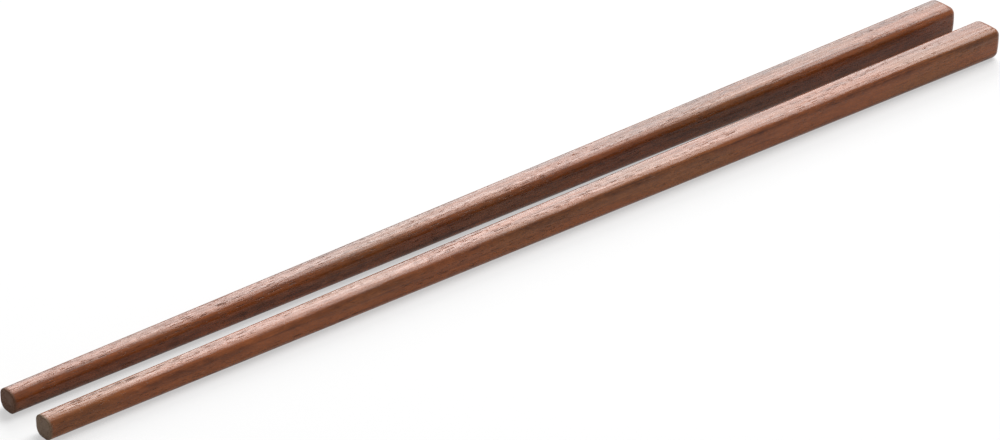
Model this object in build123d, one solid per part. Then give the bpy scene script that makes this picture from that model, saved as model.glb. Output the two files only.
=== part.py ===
from build123d import *
import math
import os

# A pair of wooden chopsticks lying side by side, each flat on one of its four faces.
# Millimetres, +X from the tips to the handles, +Z up, the origin under the middle of the pair.

# One stick: a square bar that tapers evenly from the handle to the tip
length = 240.0
tip_side = 4.5
handle_side = 7.0

# One radius rounds the long edges from end to end, so the thin tip comes out nearly round
# and the thick handle stays square
edge_rounding = 1.7

# Tip, cut off flat
tip_rim_rounding = 0.25

# Handle end, slightly crowned, with a soft rim
handle_crown = 0.45
handle_rim_rounding = 1.55

# The two sticks on the table, measured between their middles
tip_spacing = 10.9
handle_spacing = 12.8
rear_tip_set_back = 0.1

# Wood that the blank has beyond the handle end, for the crown to be cut from
blank_allowance = 3.0

# Most of a wall that a rounding may take
largest_rounding_share = 0.94

half_taper = math.atan((handle_side - tip_side) / 2 / length)
long_edge_radius = min(edge_rounding, largest_rounding_share * tip_side / 2)
handle_rim_radius = min(handle_rim_rounding, largest_rounding_share * long_edge_radius)
tip_rim_radius = min(tip_rim_rounding, largest_rounding_share * long_edge_radius)


def side_at(distance):
    """Side of the square section at a distance from the tip."""
    return tip_side + (handle_side - tip_side) * distance / length


def tapered_blank():
    """Square bar along +X with four flat faces, its long edges rounded over."""
    blank_length = length + blank_allowance
    blank_side = side_at(blank_length)
    low, high = (blank_side - tip_side) / 2, (blank_side + tip_side) / 2
    bar = Wedge(blank_side, blank_length, blank_side, low, low, high, high)
    bar = Pos(blank_length / 2, 0, 0) * Rot(0, 0, 90) * bar
    long_edges = [edge for edge in bar.edges() if edge.length > length / 2]
    return fillet(long_edges, long_edge_radius)


def handle_waste():
    """Block over the end of the blank, hollowed by the ball that the crown is part of."""
    corner_reach = (handle_side / 2 - long_edge_radius) * math.sqrt(2) + long_edge_radius
    ball_radius = (corner_reach**2 + handle_crown**2) / (2 * handle_crown)
    block_depth = handle_crown + blank_allowance
    block = Pos(length, 0, 0) * Box(2 * block_depth, 2 * handle_side, 2 * handle_side)
    return block - Pos(length - ball_radius, 0, 0) * Sphere(ball_radius)


def chopstick():
    """One stick along +X, the middle of its tip at the origin."""
    stick = tapered_blank() - handle_waste()
    crown = stick.faces().sort_by(Axis.X)[-1]
    stick = fillet(crown.edges(), handle_rim_radius)
    tip_face = stick.faces().sort_by(Axis.X)[0]
    return fillet(tip_face.edges(), tip_rim_radius)


def laid_down(stick):
    """The stick turned by its half taper, so that its lower face lies flat on the table."""
    lift = tip_side / 2 * math.cos(half_taper)
    return Pos(0, 0, lift) * Rot(0, -math.degrees(half_taper), 0) * stick


def laid_out_pair():
    """Both sticks by name, a little wider apart at the handles than at the tips."""
    stick = laid_down(chopstick())
    swing = math.degrees(math.asin((handle_spacing - tip_spacing) / 2 / length))
    front = Pos(0, -tip_spacing / 2, 0) * Rot(0, 0, -swing) * stick
    rear = Pos(-rear_tip_set_back, tip_spacing / 2, 0) * Rot(0, 0, swing) * stick
    middle = Compound([front, rear]).bounding_box().center()
    to_origin = Pos(-middle.X, -middle.Y, 0)
    return {"front_chopstick": to_origin * front, "rear_chopstick": to_origin * rear}


os.makedirs("parts", exist_ok=True)
for name, stick in laid_out_pair().items():
    stick.label = name
    export_step(stick, f"parts/{name}.step")
    box = stick.bounding_box()
    print(name, "volume", round(stick.volume, 1), "from", box.min, "to", box.max)
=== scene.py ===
import math

import bpy
from mathutils import Matrix, Vector


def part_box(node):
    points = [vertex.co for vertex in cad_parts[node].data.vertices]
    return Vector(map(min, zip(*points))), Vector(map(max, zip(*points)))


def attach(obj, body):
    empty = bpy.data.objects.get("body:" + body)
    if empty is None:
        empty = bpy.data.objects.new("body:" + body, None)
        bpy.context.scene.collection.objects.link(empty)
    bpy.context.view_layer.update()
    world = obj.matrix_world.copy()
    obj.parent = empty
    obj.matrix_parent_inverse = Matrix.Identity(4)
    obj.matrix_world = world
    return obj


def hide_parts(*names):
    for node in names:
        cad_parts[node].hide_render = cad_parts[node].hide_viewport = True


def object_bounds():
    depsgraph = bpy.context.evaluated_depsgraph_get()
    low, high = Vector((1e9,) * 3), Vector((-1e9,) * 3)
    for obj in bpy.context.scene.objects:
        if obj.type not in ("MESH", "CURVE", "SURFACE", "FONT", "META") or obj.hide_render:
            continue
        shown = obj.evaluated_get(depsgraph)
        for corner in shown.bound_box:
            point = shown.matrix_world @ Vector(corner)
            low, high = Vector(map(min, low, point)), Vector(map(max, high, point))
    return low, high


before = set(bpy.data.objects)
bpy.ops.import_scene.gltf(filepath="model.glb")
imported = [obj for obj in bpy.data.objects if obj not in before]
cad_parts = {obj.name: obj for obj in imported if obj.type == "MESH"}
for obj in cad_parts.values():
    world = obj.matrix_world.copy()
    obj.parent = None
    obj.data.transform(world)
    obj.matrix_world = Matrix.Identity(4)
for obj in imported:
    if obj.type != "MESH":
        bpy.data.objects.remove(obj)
cad_low, cad_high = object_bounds()

bl_info = {
    "name": "Wooden Chopsticks",
    "version": (1, 0, 0),
    "blender": (4, 5, 0),
    "location": "View3D > Sidebar > Chopsticks",
    "description": "Makes a pair of tapered wooden chopsticks and the table that they are shown on",
    "category": "Object",
}

# The CAD nodes of the two sticks
FRONT_NODE = "front_chopstick"
REAR_NODE = "rear_chopstick"

# Names of what each vertex carries into the wood's materials
LOG_PLACE = "log_place"
END_GRAIN = "end_grain"
PORE_FILL = "pore_fill"

# Rings of vertices on each stretch of a stick, from the tip's middle to the crown's
TIP_FACE_RINGS = 6
TIP_RIM_RINGS = 5
LONG_RINGS = 456
HANDLE_RIM_RINGS = 10
CROWN_RINGS = 8
STRETCHES = (TIP_FACE_RINGS, TIP_RIM_RINGS, LONG_RINGS, HANDLE_RIM_RINGS, CROWN_RINGS)

# Steps in each quarter of a ring, round its corner and along its flat
CORNER_POINTS = 24
FLAT_POINTS = 26
WELD_DISTANCE = 1e-7
QUARTER_TURN = math.pi / 2

# Places in the log are in millimetres, and the sticks are in metres
MM = 1000.0

# Inputs of the stick's geometry nodes, each with the stick size that it takes
SIZE_INPUTS = {
    "Length": "length",
    "Tip Side": "tip_side",
    "Handle Side": "handle_side",
    "Edge Rounding": "edge_rounding",
    "Tip Rim": "tip_rim",
    "Handle Rim": "handle_rim",
    "Handle Crown": "handle_crown",
    "Pore Depth": "pore_depth",
    "Grain Relief": "grain_relief",
}

# How each stick was cut from its log: ring width and place in millimetres, how strongly the
# bands of late wood show, how dark the wood is all over, and the roughness of its finish
CUTS = {
    FRONT_NODE: {
        # The front stick's ring width and place in the log put a dark band of late wood just under
        # its top ridge and another along its lower rim: real grain colour that is partly painted
        # shade, where shade falls under the ridge and next to the table.
        "material": "Front stick wood", "ring_width": 4.2, "place": (4320.0, 46.4, 46.4),
        "bands": 0.45, "tone": 0.12, "roughness": 0.25,
    },
    REAR_NODE: {
        "material": "Rear stick wood", "ring_width": 6.6, "place": (310.0, -40.0, -45.35),
        "bands": 0.40, "tone": 0.30, "roughness": 0.29,
    },
}

# Each kind of pore: length and width of the room that one has, in millimetres, and how far the
# limit is shifted so that more of them are open
COARSE_PORES = (3.8, 0.30, 0.04)
FINE_PORES = (2.4, 0.21, 0.12)

# How far the same limit is shifted back where the finish has filled pores
FILLED_SHIFT = 0.08

# Shares of the length between which the finish goes from leaving pores open to filling them
FILLING_STRETCH = (0.35, 0.8)

# The sawn tip's tone covers the first of these lengths and is gone after the second, in metres
TIP_TONE_LENGTHS = (0.0005, 0.00075)

# Share of the end grain's tone that shows on the handle's crown
CROWN_TONE = 0.2

# Pale flecks of the wood, and the tints of its redder and its greyer patches
FLECK_WOOD = (0.42, 0.22, 0.12, 1.0)
REDDER = (1.06, 0.97, 0.93, 1.0)
GREYER = (0.95, 1.01, 0.99, 1.0)

# Metres of bump for each unit of the grain's height
BUMP_STEP = 0.00004

# The table top, in metres, and the share of plain white in it where it is seen
TABLE_RADIUS = 6.0
TABLE_SIDES = 96
SEEN_WHITE = 0.5
WHITE = (1.0, 1.0, 1.0, 1.0)

# Strength of the room's light on the sticks, where one is white
ROOM_LIGHT = 0.32

# Where the bank of softboxes stands round the pair, and its turn in its own plane
BANK_AZIMUTH = math.radians(118.7)
BANK_ELEVATION = math.radians(40.0)
BANK_DISTANCE = 2.5
BANK_TURN = math.radians(32.7)

# Each softbox: centre in the bank's plane and size, across and up in metres, and its radiance
SOFTBOXES = {
    "low_left_softbox": ((0.80, -0.87), (0.90, 1.74), 8.7),
    "low_right_softbox": ((0.085, -0.80), (0.52, 1.60), 5.7),
    "high_softbox": ((-0.08, 0.79), (1.86, 1.38), 9.0),
}

# Width of the camera's sensor in millimetres, and the nearest and farthest that it sees
SENSOR_WIDTH = 36.0
CLIP_START = 0.05
CLIP_END = 20.0

# What the panel lists: each group of settings, and the operator under it
PANEL_BOXES = (
    ("stick_sizes", None),
    ("wood_finish", "chopsticks.make_sticks"),
    ("chopstick_studio", "chopsticks.lay_table"),
)


class StickSizes(bpy.types.PropertyGroup):
    """Sizes of one stick."""

    length: bpy.props.FloatProperty(
        name="Length", description="From the tip to the top of the handle's crown",
        default=0.240, unit="LENGTH", precision=4)
    tip_side: bpy.props.FloatProperty(
        name="Tip side", description="Side of the square section at the tip",
        default=0.0045, unit="LENGTH", precision=5)
    handle_side: bpy.props.FloatProperty(
        name="Handle side", description="Side of the square section at the handle end",
        default=0.0070, unit="LENGTH", precision=5)
    edge_rounding: bpy.props.FloatProperty(
        name="Edge rounding", description="Radius of the four long edges",
        default=0.0017, unit="LENGTH", precision=5)
    tip_rim: bpy.props.FloatProperty(
        name="Tip rim", description="Radius that eases the rim of the flat tip",
        default=0.00025, unit="LENGTH", precision=5)
    handle_rim: bpy.props.FloatProperty(
        name="Handle rim", description="Radius of the soft rim of the handle end",
        default=0.00155, unit="LENGTH", precision=5)
    handle_crown: bpy.props.FloatProperty(
        name="Handle crown", description="How far the handle end rises in its middle",
        default=0.00045, unit="LENGTH", precision=5)
    pore_depth: bpy.props.FloatProperty(
        name="Pore depth", description="How deep an open pore lies in the wood",
        default=0.00004, unit="LENGTH", precision=6)
    grain_relief: bpy.props.FloatProperty(
        name="Grain relief", description="How far the softer wood lies below the harder",
        default=0.00007, unit="LENGTH", precision=6)


class WoodFinish(bpy.types.PropertyGroup):
    """Colours of the wood and the gloss of its clear finish."""

    light_wood: bpy.props.FloatVectorProperty(
        name="Light wood", description="Wood between the dark bands of the growth rings",
        default=(0.265, 0.081, 0.022), subtype="COLOR", min=0, max=1)
    dark_wood: bpy.props.FloatVectorProperty(
        name="Dark wood", description="Late wood, the dark bands of the growth rings",
        default=(0.074, 0.020, 0.006), subtype="COLOR", min=0, max=1)
    pore_wood: bpy.props.FloatVectorProperty(
        name="Pores", description="The bottom of the open pores",
        default=(0.060, 0.022, 0.010), subtype="COLOR", min=0, max=1)
    end_wood: bpy.props.FloatVectorProperty(
        name="End grain", description="The sawn tips",
        default=(0.190, 0.135, 0.090), subtype="COLOR", min=0, max=1)
    refraction: bpy.props.FloatProperty(
        name="Refraction", description="Index of refraction of the clear satin finish",
        default=1.3, min=1, max=2)


class Studio(bpy.types.PropertyGroup):
    """The table and the camera."""

    floor_colour: bpy.props.FloatVectorProperty(
        name="Floor", description="Colour of the table top",
        default=(0.75, 0.75, 0.75), subtype="COLOR", min=0, max=1)
    azimuth: bpy.props.FloatProperty(
        name="Azimuth", description="Turn of the camera round the pair, 0 looks along +Y",
        default=math.radians(-41.29), subtype="ANGLE")
    elevation: bpy.props.FloatProperty(
        name="Elevation", description="Height of the camera above the table, as an angle",
        default=math.radians(29.82), subtype="ANGLE")
    roll: bpy.props.FloatProperty(
        name="Roll", description="Turn of the camera about its own line of sight",
        default=math.radians(1.5), subtype="ANGLE")
    distance: bpy.props.FloatProperty(
        name="Distance", description="From the camera to the point that it aims at",
        default=0.6957, unit="LENGTH")
    aim: bpy.props.FloatVectorProperty(
        name="Aim", description="Point on the table that the camera aims at",
        default=(-0.00788, 0.00337, 0.0), subtype="TRANSLATION", precision=5)
    lens: bpy.props.FloatProperty(
        name="Lens", description="Focal length on a 36 mm wide sensor",
        default=129.6, min=1)


class Term:
    """The value of a node's output, which plain arithmetic combines with others."""

    def __init__(self, tree, socket):
        self.tree = tree
        self.socket = socket

    def __add__(self, other):
        return sum_of(self.tree, "ADD", self, other)

    def __radd__(self, other):
        return sum_of(self.tree, "ADD", other, self)

    def __sub__(self, other):
        return sum_of(self.tree, "SUBTRACT", self, other)

    def __rsub__(self, other):
        return sum_of(self.tree, "SUBTRACT", other, self)

    def __mul__(self, other):
        return sum_of(self.tree, "MULTIPLY", self, other)

    def __rmul__(self, other):
        return sum_of(self.tree, "MULTIPLY", other, self)

    def __truediv__(self, other):
        return sum_of(self.tree, "DIVIDE", self, other)


def feed(tree, value, socket):
    """Links a term to a socket, or sets the socket to a plain value."""
    if isinstance(value, Term):
        tree.links.new(value.socket, socket)
    else:
        socket.default_value = value


def add_node(tree, kind, inputs=None, **settings):
    """A new node with its settings, its inputs fed by name."""
    node = tree.nodes.new(kind)
    for name, value in settings.items():
        setattr(node, name, value)
    for name, value in (inputs or {}).items():
        feed(tree, value, node.inputs[name])
    return node


def sum_of(tree, operation, *values):
    """One step of arithmetic."""
    node = add_node(tree, "ShaderNodeMath", operation=operation)
    for value, socket in zip(values, node.inputs):
        feed(tree, value, socket)
    return Term(tree, node.outputs["Value"])


def clamped(tree, value):
    """The value held between zero and one."""
    node = add_node(tree, "ShaderNodeClamp", {"Value": value})
    return Term(tree, node.outputs["Result"])


def vector_sum(tree, operation, *values):
    """One step of vector arithmetic."""
    node = add_node(tree, "ShaderNodeVectorMath", operation=operation)
    for value, socket in zip(values, node.inputs):
        feed(tree, value, socket)
    return Term(tree, node.outputs["Vector"])


def vector_of(tree, x, y, z):
    """A vector from its three parts."""
    node = add_node(tree, "ShaderNodeCombineXYZ", {"X": x, "Y": y, "Z": z})
    return Term(tree, node.outputs["Vector"])


def parts_of(tree, vector):
    """The three parts of a vector."""
    node = add_node(tree, "ShaderNodeSeparateXYZ", {"Vector": vector})
    return [Term(tree, node.outputs[name]) for name in "XYZ"]


def soft_step(tree, value, start, end, low=0.0):
    """Goes smoothly from low to one while the value goes from start to end."""
    inputs = {"Value": value, "From Min": start, "From Max": end, "To Min": low, "To Max": 1.0}
    node = add_node(tree, "ShaderNodeMapRange", inputs, interpolation_type="SMOOTHSTEP")
    return Term(tree, node.outputs["Result"])


def wood_noise(tree, place, along, across, detail=2.0, roughness=0.5):
    """Smooth noise from zero to one, with its features per millimetre along and across the grain."""
    inputs = {
        "Vector": vector_sum(tree, "MULTIPLY", place, (along, across, across)),
        "Scale": 1.0, "Detail": detail, "Roughness": roughness,
    }
    node = add_node(tree, "ShaderNodeTexNoise", inputs)
    return Term(tree, node.outputs["Fac"])


def group_input(tree, name):
    """The value of one of a group's inputs."""
    node = tree.nodes.get("Group Input") or tree.nodes.new("NodeGroupInput")
    return Term(tree, node.outputs[name])


def new_group(name, kind, inputs, outputs):
    """An empty node group: inputs as name: (kind of socket, default), outputs as name: kind."""
    tree = bpy.data.node_groups.new(name, kind)
    for label, (socket_kind, default) in inputs.items():
        socket = tree.interface.new_socket(label, in_out="INPUT", socket_type=socket_kind)
        if default is not None:
            socket.default_value = default
    for label, socket_kind in outputs.items():
        tree.interface.new_socket(label, in_out="OUTPUT", socket_type=socket_kind)
    return tree


def finish_group(tree, outputs):
    """Feeds a group's outputs by name."""
    node = tree.nodes.new("NodeGroupOutput")
    for name, value in outputs.items():
        feed(tree, value, node.inputs[name])
    return tree


def ring_share(tree, place, ring_width):
    """How far across its growth ring the wood is, from zero in the first wood to one in the last."""
    _, across, up = parts_of(tree, place)
    radius = sum_of(tree, "SQRT", across * across + up * up)
    wander = wood_noise(tree, place, along=0.012, across=0.12) * 1.3
    return sum_of(tree, "FRACT", (radius + wander) / ring_width)


def late_wood(tree, share):
    """One in the dark late wood of a growth ring and zero in its first wood."""
    return soft_step(tree, share, 0.1, 0.7) * soft_step(tree, share, 1.0, 0.72)


def open_pores(tree, place, share, filled, pore_kind):
    """One inside the open pores and zero between them, for a place in the log in millimetres.

    A pore is a fine tube along the grain. The wood holds them in clusters, wider in the first
    half of each growth ring, so a face shows groups of short dashes, and a sawn end shows dots.
    The finish fills part of them.
    """
    room_length, room_width, shift = pore_kind
    cluster = wood_noise(tree, place, along=0.05, across=0.5) + (shift - filled * FILLED_SHIFT)
    width = soft_step(tree, cluster, 0.43, 0.61) * soft_step(tree, share, 0.8, 0.4, low=0.6)
    rooms = vector_sum(tree, "MULTIPLY", place, (1 / room_length, 1 / room_width, 1 / room_width))
    node = add_node(tree, "ShaderNodeTexVoronoi", {"Vector": rooms, "Scale": 1.0})
    size = parts_of(tree, Term(tree, node.outputs["Color"]))[0]
    reach = sum_of(tree, "MAXIMUM", width * (0.14 + 0.24 * size), 0.02)
    inside = soft_step(tree, Term(tree, node.outputs["Distance"]) / reach, 1.1, 0.7)
    return inside * soft_step(tree, width, 0.05, 0.35)


def rounded_square_group():
    """The point on the ring of a square with rounded corners, for a share of the way round it."""
    sockets = {name: ("NodeSocketFloat", 0.0) for name in ("Half Side", "Corner", "Around")}
    tree = new_group(
        "Rounded square", "GeometryNodeTree", sockets,
        {"Across": "NodeSocketFloat", "Up": "NodeSocketFloat"})
    half = group_input(tree, "Half Side")
    corner = group_input(tree, "Corner")
    turns = group_input(tree, "Around") * 4.0
    quarter = sum_of(tree, "FLOOR", turns)
    in_quarter = sum_of(tree, "ROUND", (turns - quarter) * (CORNER_POINTS + FLAT_POINTS))
    bend = clamped(tree, in_quarter / CORNER_POINTS)
    run = clamped(tree, (in_quarter - CORNER_POINTS) / FLAT_POINTS)
    heading = (quarter + bend) * QUARTER_TURN
    here = (quarter + 0.5) * QUARTER_TURN
    reach = (half - corner) * math.sqrt(2)
    parts = []
    for wave in ("COSINE", "SINE"):
        this_centre = sum_of(tree, wave, here) * (1.0 - run)
        next_centre = sum_of(tree, wave, here + QUARTER_TURN) * run
        parts.append(reach * (this_centre + next_centre) + corner * sum_of(tree, wave, heading))
    return finish_group(tree, {"Across": parts[0], "Up": parts[1]})


def ring_at(tree, group, half, corner, around):
    """The two parts of a point on the ring of a rounded square."""
    inputs = {"Half Side": half, "Corner": corner, "Around": around}
    node = add_node(tree, "GeometryNodeGroup", inputs, node_tree=group)
    return Term(tree, node.outputs["Across"]), Term(tree, node.outputs["Up"])


def stretch_shares(tree, ring):
    """For each stretch of a stick, the share of it that a ring has behind it."""
    shares = []
    start = 0
    for count in STRETCHES:
        shares.append(clamped(tree, (ring - start) / count))
        start += count
    return shares


def surface_point(tree, ring, around):
    """Point of a stick's surface, how far along it lies, and how far round the handle's rim."""
    square = rounded_square_group()
    length = group_input(tree, "Length")
    tip = group_input(tree, "Tip Side")
    handle = group_input(tree, "Handle Side")
    corner = group_input(tree, "Edge Rounding")
    tip_rim = group_input(tree, "Tip Rim")
    handle_rim = group_input(tree, "Handle Rim")
    crown = group_input(tree, "Handle Crown")
    tip_face, tip_turn, run, handle_turn, crown_run = stretch_shares(tree, ring)
    tip_angle = tip_turn * QUARTER_TURN
    handle_angle = handle_turn * QUARTER_TURN
    tip_inset = tip_rim * (1.0 - sum_of(tree, "SINE", tip_angle))
    inset = tip_inset + handle_rim * (1.0 - sum_of(tree, "COSINE", handle_angle))
    spread = sum_of(tree, "MINIMUM", tip_face, 1.0 - crown_run)

    # The crown is part of a ball that meets the corners of the handle's section
    handle_half = handle * 0.5
    corner_reach = (handle_half - corner) * math.sqrt(2) + corner
    ball = (corner_reach * corner_reach + crown * crown) / (crown * 2.0)
    across, up = ring_at(tree, square, handle_half - inset, corner - inset, around)
    reach = (across * across + up * up) * spread * spread
    crown_fall = ball - sum_of(tree, "SQRT", ball * ball - reach)
    handle_end = length - crown_fall - handle_rim * (1.0 - sum_of(tree, "SINE", handle_angle))
    tip_end = tip_rim * (1.0 - sum_of(tree, "COSINE", tip_angle))
    along = tip_end * (1.0 - run) + handle_end * run

    half = (tip + (handle - tip) * along / length) * 0.5
    across, up = ring_at(tree, square, half - inset, corner - inset, around)
    return vector_of(tree, along, across * spread, up * spread), along, handle_turn


def stored_value(tree, name, kind):
    """What a vertex carries under a name."""
    node = add_node(tree, "GeometryNodeInputNamedAttribute", {"Name": name}, data_type=kind)
    return Term(tree, node.outputs["Attribute"])


def wood_depth(tree):
    """How far open pores and soft early wood lie below the surface, and never above it."""
    place = stored_value(tree, LOG_PLACE, "FLOAT_VECTOR")
    filled = stored_value(tree, PORE_FILL, "FLOAT")
    share = ring_share(tree, place, group_input(tree, "Ring Width"))
    wave = wood_noise(tree, place, along=0.07, across=0.7, detail=3.0)
    soft = (1.0 - late_wood(tree, share)) * 0.3 + wave * 0.7
    pores = open_pores(tree, place, share, filled, COARSE_PORES)
    return pores * group_input(tree, "Pore Depth") + soft * group_input(tree, "Grain Relief")


def geometry_step(tree, kind, flow, inputs=None, **settings):
    """The geometry after one more node."""
    node = add_node(tree, kind, {"Geometry": flow, **(inputs or {})}, **settings)
    return Term(tree, node.outputs["Geometry"])


def shape_tree(sizes):
    """Geometry nodes that shape one stick along +X, its tip at the origin, from its sizes."""
    inputs = {
        label: ("NodeSocketFloat", getattr(sizes, name)) for label, name in SIZE_INPUTS.items()}
    inputs["Ring Width"] = ("NodeSocketFloat", 1.0)
    inputs["Place In Log"] = ("NodeSocketVector", (0.0, 0.0, 0.0))
    inputs["Wood"] = ("NodeSocketMaterial", None)
    outputs = {"Geometry": "NodeSocketGeometry"}
    tree = new_group("Tapered square stick", "GeometryNodeTree", inputs, outputs)

    # A flat grid is rolled up: its first way runs from the tip's middle to the crown's, its second
    # runs round backwards, so that the faces look outwards
    rings = sum(STRETCHES)
    points = 4 * (CORNER_POINTS + FLAT_POINTS)
    grid = add_node(tree, "GeometryNodeMeshGrid", {
        "Size X": 1.0, "Size Y": 1.0, "Vertices X": rings + 1, "Vertices Y": points + 1})
    place = Term(tree, tree.nodes.new("GeometryNodeInputPosition").outputs["Position"])
    x, y, _ = parts_of(tree, place)
    ring = sum_of(tree, "ROUND", (x + 0.5) * rings)
    around = sum_of(tree, "ROUND", (0.5 - y) * points) / points
    surface, along, handle_turn = surface_point(tree, ring, around)

    # Where in the log this wood was, where it was sawn across, and where its pores are filled: the
    # handle's finish lies thicker
    in_mm = vector_sum(tree, "MULTIPLY", surface, (MM, MM, MM))
    log_place = vector_sum(tree, "ADD", in_mm, group_input(tree, "Place In Log"))
    covered, gone = TIP_TONE_LENGTHS
    crown_tone = soft_step(tree, handle_turn, 0.45, 1.0) * CROWN_TONE
    end_grain = sum_of(tree, "MAXIMUM", soft_step(tree, along, gone, covered), crown_tone)
    pore_fill = soft_step(tree, along / group_input(tree, "Length"), *FILLING_STRETCH)

    flow = Term(tree, grid.outputs["Mesh"])
    stored = (
        (LOG_PLACE, "FLOAT_VECTOR", log_place),
        (END_GRAIN, "FLOAT", end_grain),
        (PORE_FILL, "FLOAT", pore_fill),
    )
    for name, kind, value in stored:
        flow = geometry_step(
            tree, "GeometryNodeStoreNamedAttribute", flow, {"Name": name, "Value": value},
            data_type=kind, domain="POINT")
    flow = geometry_step(tree, "GeometryNodeSetPosition", flow, {"Position": surface})
    flow = geometry_step(tree, "GeometryNodeMergeByDistance", flow, {"Distance": WELD_DISTANCE})
    normal = Term(tree, tree.nodes.new("GeometryNodeInputNormal").outputs["Normal"])
    sunk = vector_sum(tree, "MULTIPLY", normal, 0.0 - wood_depth(tree))
    flow = geometry_step(tree, "GeometryNodeSetPosition", flow, {"Offset": sunk})
    flow = geometry_step(tree, "GeometryNodeSetShadeSmooth", flow)
    flow = geometry_step(tree, "GeometryNodeRealizeInstances", flow)
    wood = group_input(tree, "Wood")
    flow = geometry_step(tree, "GeometryNodeSetMaterial", flow, {"Material": wood})
    return finish_group(tree, {"Geometry": flow})


def mixed(tree, share, first, second, blend="MIX"):
    """A colour between two others."""
    node = add_node(tree, "ShaderNodeMix", data_type="RGBA", blend_type=blend)

    # The node has sockets of the same names for each kind of value, so they go by place
    feed(tree, share, node.inputs[0])
    feed(tree, first, node.inputs[6])
    feed(tree, second, node.inputs[7])
    return Term(tree, node.outputs[2])


def grain_group(finish):
    """Colour, roughness and relief of dark wood at a place in the log."""
    colour = "NodeSocketColor"
    tree = new_group(
        "Dark wood grain", "ShaderNodeTree",
        {
            "Place": ("NodeSocketVector", (0.0, 0.0, 0.0)),
            "End Grain": ("NodeSocketFloat", 0.0),
            "Pore Fill": ("NodeSocketFloat", 0.0),
            "Light Wood": (colour, (*finish.light_wood, 1.0)),
            "Dark Wood": (colour, (*finish.dark_wood, 1.0)),
            "Pores": (colour, (*finish.pore_wood, 1.0)),
            "End Wood": (colour, (*finish.end_wood, 1.0)),
            "Ring Width": ("NodeSocketFloat", 1.0),
            "Bands": ("NodeSocketFloat", 0.0),
            "Tone": ("NodeSocketFloat", 0.0),
            "Roughness": ("NodeSocketFloat", 0.5),
        },
        {"Colour": colour, "Roughness": "NodeSocketFloat", "Height": "NodeSocketFloat"})
    place = group_input(tree, "Place")
    end = group_input(tree, "End Grain")
    filled = group_input(tree, "Pore Fill")
    light_wood = group_input(tree, "Light Wood")
    dark_wood = group_input(tree, "Dark Wood")
    tone = group_input(tree, "Tone")

    share = ring_share(tree, place, group_input(tree, "Ring Width"))
    coarse = open_pores(tree, place, share, filled, COARSE_PORES)
    fine = open_pores(tree, place, share, filled, FINE_PORES)
    pores = sum_of(tree, "MAXIMUM", coarse, fine * 0.8)
    fibre = wood_noise(tree, place, along=0.10, across=3.2, detail=4.0, roughness=0.6)
    grain = wood_noise(tree, place, along=0.45, across=1.4, detail=4.0, roughness=0.7)
    streak = wood_noise(tree, place, along=0.018, across=0.75, detail=3.0, roughness=0.55)
    patch = wood_noise(tree, place, along=0.03, across=0.16, detail=1.0)
    blotch = wood_noise(tree, place, along=0.07, across=0.5)
    fleck = wood_noise(tree, place, along=0.5, across=2.6, detail=1.0)
    line = wood_noise(tree, place, along=0.02, across=1.7)
    ripple = wood_noise(tree, place, along=0.06, across=0.7)

    bands = late_wood(tree, share) * soft_step(tree, blotch, 0.35, 0.6, low=0.35)
    late = bands + soft_step(tree, line, 0.56, 0.7) * 0.7
    dark_share = late * group_input(tree, "Bands") + tone
    dark_share = dark_share + (streak - 0.5) * 1.1 + (fibre - 0.5) * 0.6 + (grain - 0.5) * 1.4
    wood = mixed(tree, clamped(tree, dark_share), light_wood, dark_wood)
    tint = mixed(tree, soft_step(tree, patch, 0.35, 0.65), REDDER, GREYER)
    wood = mixed(tree, 1.0, wood, tint, blend="MULTIPLY")
    wood = mixed(tree, soft_step(tree, fleck, 0.68, 0.80) * 0.2, wood, FLECK_WOOD)
    end_wood = mixed(tree, tone * 2.5, group_input(tree, "End Wood"), dark_wood)
    wood = mixed(tree, end, wood, end_wood)
    wood = mixed(tree, pores * (0.6 - filled * 0.2), wood, group_input(tree, "Pores"))

    rough = group_input(tree, "Roughness") + (grain - 0.5) * (0.55 - filled * 0.35)
    rough = rough + (fibre - 0.5) * 0.15 + pores * 0.3 + end * 0.4
    height = ripple * 3.5 + fibre * 0.4 + streak * 0.2 + grain * 0.3 - pores * 0.8
    return finish_group(tree, {
        "Colour": wood, "Roughness": clamped(tree, rough), "Height": height})


def carried(tree, name, output):
    """What the surface carries under a name."""
    node = add_node(tree, "ShaderNodeAttribute", attribute_name=name)
    return Term(tree, node.outputs[output])


def wood_material(cut, grain, finish):
    """Satin finished wood of one stick."""
    material = bpy.data.materials.new(cut["material"])
    material.use_nodes = True
    tree = material.node_tree
    shader = tree.nodes["Principled BSDF"]
    values = {
        "Place": carried(tree, LOG_PLACE, "Vector"),
        "End Grain": carried(tree, END_GRAIN, "Fac"),
        "Pore Fill": carried(tree, PORE_FILL, "Fac"),
        "Light Wood": (*finish.light_wood, 1.0),
        "Dark Wood": (*finish.dark_wood, 1.0),
        "Pores": (*finish.pore_wood, 1.0),
        "End Wood": (*finish.end_wood, 1.0),
        "Ring Width": cut["ring_width"],
        "Bands": cut["bands"],
        "Tone": cut["tone"],
        "Roughness": cut["roughness"],
    }
    wood = add_node(tree, "ShaderNodeGroup", values, node_tree=grain)
    bump = add_node(tree, "ShaderNodeBump", {
        "Strength": 1.0, "Distance": BUMP_STEP, "Height": Term(tree, wood.outputs["Height"])})
    tree.links.new(wood.outputs["Colour"], shader.inputs["Base Color"])
    tree.links.new(wood.outputs["Roughness"], shader.inputs["Roughness"])
    tree.links.new(bump.outputs["Normal"], shader.inputs["Normal"])
    shader.inputs["IOR"].default_value = finish.refraction
    return material


def end_middle(node, from_x, to_x):
    """Middle of the stretch of a CAD stick between two places along X."""
    corners = [v.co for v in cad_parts[node].data.vertices if from_x <= v.co.x <= to_x]
    low = Vector([min(c[i] for c in corners) for i in range(3)])
    high = Vector([max(c[i] for c in corners) for i in range(3)])
    return (low + high) / 2


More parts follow.
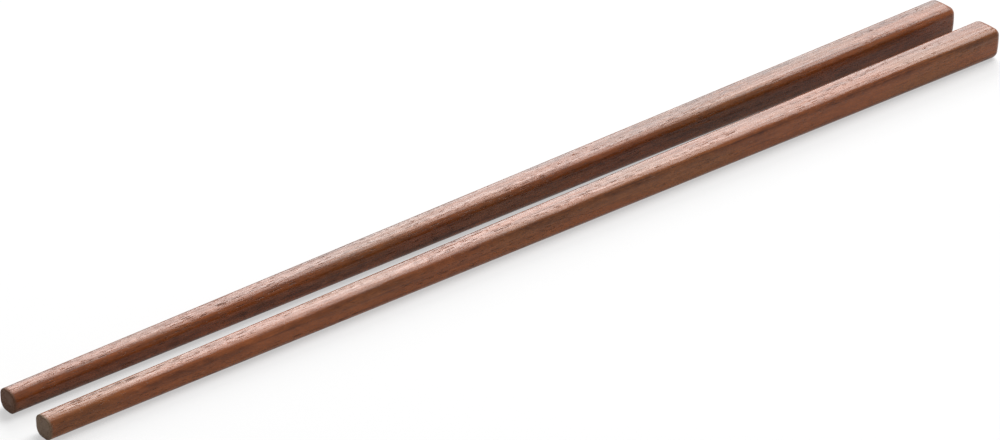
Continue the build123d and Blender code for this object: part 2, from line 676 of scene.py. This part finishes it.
def lay_of(node, sizes):
    """How a stick lies on the table: its lower face flat, along the middle of its CAD node."""
    low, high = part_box(node)
    tip = end_middle(node, low.x, low.x + 2 * sizes.tip_rim)
    handle = end_middle(node, high.x - 2 * sizes.handle_rim, high.x)
    swing = math.atan2(handle.y - tip.y, handle.x - tip.x)
    half_taper = math.atan((sizes.handle_side - sizes.tip_side) / 2 / sizes.length)
    start = Vector((low.x, tip.y, sizes.tip_side / 2 * math.cos(half_taper)))
    tilt = Matrix.Rotation(-half_taper, 4, "Y")
    return Matrix.Translation(start) @ Matrix.Rotation(swing, 4, "Z") @ tilt


def shaped_stick(name, node, tree, sizes, material, cut):
    """One stick, shaped by the geometry nodes, made a plain mesh and laid on the table."""
    carrier = bpy.data.objects.new(name + "_blank", bpy.data.meshes.new(name + "_blank"))
    bpy.context.scene.collection.objects.link(carrier)
    modifier = carrier.modifiers.new("Shape", "NODES")
    modifier.node_group = tree
    values = {label: getattr(sizes, size) for label, size in SIZE_INPUTS.items()}
    values["Ring Width"] = cut["ring_width"]
    values["Place In Log"] = cut["place"]
    values["Wood"] = material
    for item in tree.interface.items_tree:
        if item.in_out == "INPUT":
            modifier[item.identifier] = values[item.name]
    depsgraph = bpy.context.evaluated_depsgraph_get()
    mesh = bpy.data.meshes.new_from_object(carrier.evaluated_get(depsgraph))
    carrier.modifiers.remove(modifier)
    bpy.data.objects.remove(carrier)
    mesh.transform(lay_of(node, sizes))
    tip_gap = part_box(node)[0].x - min(vertex.co.x for vertex in mesh.vertices)
    mesh.transform(Matrix.Translation((tip_gap, 0.0, 0.0)))
    mesh.name = name
    stick = bpy.data.objects.new(name, mesh)
    bpy.context.scene.collection.objects.link(stick)
    return stick


class CHOPSTICKS_OT_make_sticks(bpy.types.Operator):
    """Shape both sticks, give them their wood and lay them where the frame has them"""

    bl_idname = "chopsticks.make_sticks"
    bl_label = "Make the Sticks"

    def execute(self, context):
        sizes = context.scene.stick_sizes
        finish = context.scene.wood_finish
        grain = grain_group(finish)
        tree = shape_tree(sizes)
        for node, cut in CUTS.items():
            material = wood_material(cut, grain, finish)
            stick = shaped_stick(node + "_wood", node, tree, sizes, material, cut)
            if not stick.data.polygons:
                raise RuntimeError(node + " has no faces")
            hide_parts(node)
            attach(stick, "root")
        return {"FINISHED"}


def background_share(tree):
    """One for what is seen, by itself, in a gloss or through glass, and zero for other light."""
    path = tree.nodes.new("ShaderNodeLightPath")
    camera = Term(tree, path.outputs["Is Camera Ray"])
    glossy = Term(tree, path.outputs["Is Glossy Ray"])
    through = Term(tree, path.outputs["Is Transmission Ray"])
    return clamped(tree, camera + glossy + through)


def floor_material(colour):
    """Matte pale table top, whose shadows are lighter where they are seen."""
    material = bpy.data.materials.new("Pale table top")
    material.use_nodes = True
    tree = material.node_tree
    shader = tree.nodes["Principled BSDF"]
    shader.inputs["Base Color"].default_value = (*colour, 1.0)
    shader.inputs["Roughness"].default_value = 0.9
    shader.inputs["Specular IOR Level"].default_value = 0.0
    white = add_node(tree, "ShaderNodeEmission", {"Color": WHITE, "Strength": 1.0})
    mix = add_node(tree, "ShaderNodeMixShader", {"Fac": background_share(tree) * SEEN_WHITE})
    tree.links.new(shader.outputs["BSDF"], mix.inputs[1])
    tree.links.new(white.outputs["Emission"], mix.inputs[2])
    tree.links.new(mix.outputs["Shader"], tree.nodes["Material Output"].inputs["Surface"])
    return material


def lay_floor(colour):
    """Round table top at the height of the sticks' undersides."""
    angles = [2 * math.pi * i / TABLE_SIDES for i in range(TABLE_SIDES)]
    rim = [(TABLE_RADIUS * math.cos(a), TABLE_RADIUS * math.sin(a), cad_low.z) for a in angles]
    mesh = bpy.data.meshes.new("table_top")
    mesh.from_pydata(rim, [], [tuple(range(TABLE_SIDES))])
    mesh.materials.append(floor_material(colour))
    floor = bpy.data.objects.new("table_top", mesh)
    bpy.context.scene.collection.objects.link(floor)


def direction(azimuth, elevation):
    """Unit vector to a place round the pair, azimuth 0 on the side of -Y."""
    level = math.cos(elevation)
    return Vector((math.sin(azimuth) * level, -math.cos(azimuth) * level, math.sin(elevation)))


def facing_the_pair(azimuth, elevation, distance):
    """Place round the pair that looks back at it, as a lamp or a camera does."""
    out = direction(azimuth, elevation)
    turn = (-out).to_track_quat("-Z", "Y").to_matrix().to_4x4()
    return Matrix.Translation(out * distance) @ turn


def add_softbox(name, bank, centre, size, radiance):
    """Soft lamp in the bank's plane, its centre measured across and up in that plane."""
    lamp = bpy.data.lights.new(name, "AREA")
    lamp.shape = "RECTANGLE"
    lamp.size, lamp.size_y = size
    lamp.energy = radiance * math.pi * size[0] * size[1]
    body = bpy.data.objects.new(name, lamp)
    bpy.context.scene.collection.objects.link(body)
    body.matrix_world = bank @ Matrix.Translation((*centre, 0.0))


def light_world():
    """Even soft light all round, white where it is seen."""
    world = bpy.data.worlds.new("Soft room light")
    bpy.context.scene.world = world
    world.use_nodes = True
    tree = world.node_tree
    background = tree.nodes["Background"]
    background.inputs["Color"].default_value = WHITE
    seen = background_share(tree)
    feed(tree, seen + (1.0 - seen) * ROOM_LIGHT, background.inputs["Strength"])


def set_camera(studio):
    """Camera at the photograph's angle."""
    camera = bpy.data.cameras.new("photo_view")
    camera.lens = studio.lens
    camera.sensor_width = SENSOR_WIDTH
    camera.clip_start = CLIP_START
    camera.clip_end = CLIP_END
    body = bpy.data.objects.new("photo_view", camera)
    bpy.context.scene.collection.objects.link(body)
    view = facing_the_pair(studio.azimuth, studio.elevation, studio.distance)
    roll = Matrix.Rotation(studio.roll, 4, "Z")
    body.matrix_world = Matrix.Translation(studio.aim) @ view @ roll
    bpy.context.scene.camera = body


class CHOPSTICKS_OT_lay_table(bpy.types.Operator):
    """Lay the table top, set up the lamps and the room light and place the camera"""

    bl_idname = "chopsticks.lay_table"
    bl_label = "Lay the Table"

    def execute(self, context):
        studio = context.scene.chopstick_studio
        lay_floor(studio.floor_colour)
        bank = facing_the_pair(BANK_AZIMUTH, BANK_ELEVATION, BANK_DISTANCE)
        bank = bank @ Matrix.Rotation(BANK_TURN, 4, "Z")
        for name, (centre, size, radiance) in SOFTBOXES.items():
            add_softbox(name, bank, centre, size, radiance)
        light_world()
        set_camera(studio)
        context.scene.view_settings.view_transform = "Standard"
        return {"FINISHED"}


class CHOPSTICKS_PT_panel(bpy.types.Panel):
    """Sizes, finish and table of the chopsticks"""

    bl_idname = "CHOPSTICKS_PT_panel"
    bl_label = "Chopsticks"
    bl_space_type = "VIEW_3D"
    bl_region_type = "UI"
    bl_category = "Chopsticks"

    def draw(self, context):
        for group, operator in PANEL_BOXES:
            settings = getattr(context.scene, group)
            box = self.layout.box()
            for name in settings.bl_rna.properties.keys():
                if name not in ("rna_type", "name"):
                    box.prop(settings, name)
            if operator:
                self.layout.operator(operator)


CLASSES = (
    StickSizes,
    WoodFinish,
    Studio,
    CHOPSTICKS_OT_make_sticks,
    CHOPSTICKS_OT_lay_table,
    CHOPSTICKS_PT_panel,
)


def register():
    for cls in CLASSES:
        bpy.utils.register_class(cls)
    bpy.types.Scene.stick_sizes = bpy.props.PointerProperty(type=StickSizes)
    bpy.types.Scene.wood_finish = bpy.props.PointerProperty(type=WoodFinish)
    bpy.types.Scene.chopstick_studio = bpy.props.PointerProperty(type=Studio)


def unregister():
    del bpy.types.Scene.chopstick_studio
    del bpy.types.Scene.wood_finish
    del bpy.types.Scene.stick_sizes
    for cls in reversed(CLASSES):
        bpy.utils.unregister_class(cls)


def main():
    register()
    bpy.ops.chopsticks.make_sticks()
    bpy.ops.chopsticks.lay_table()


if __name__ == "__main__":
    main()
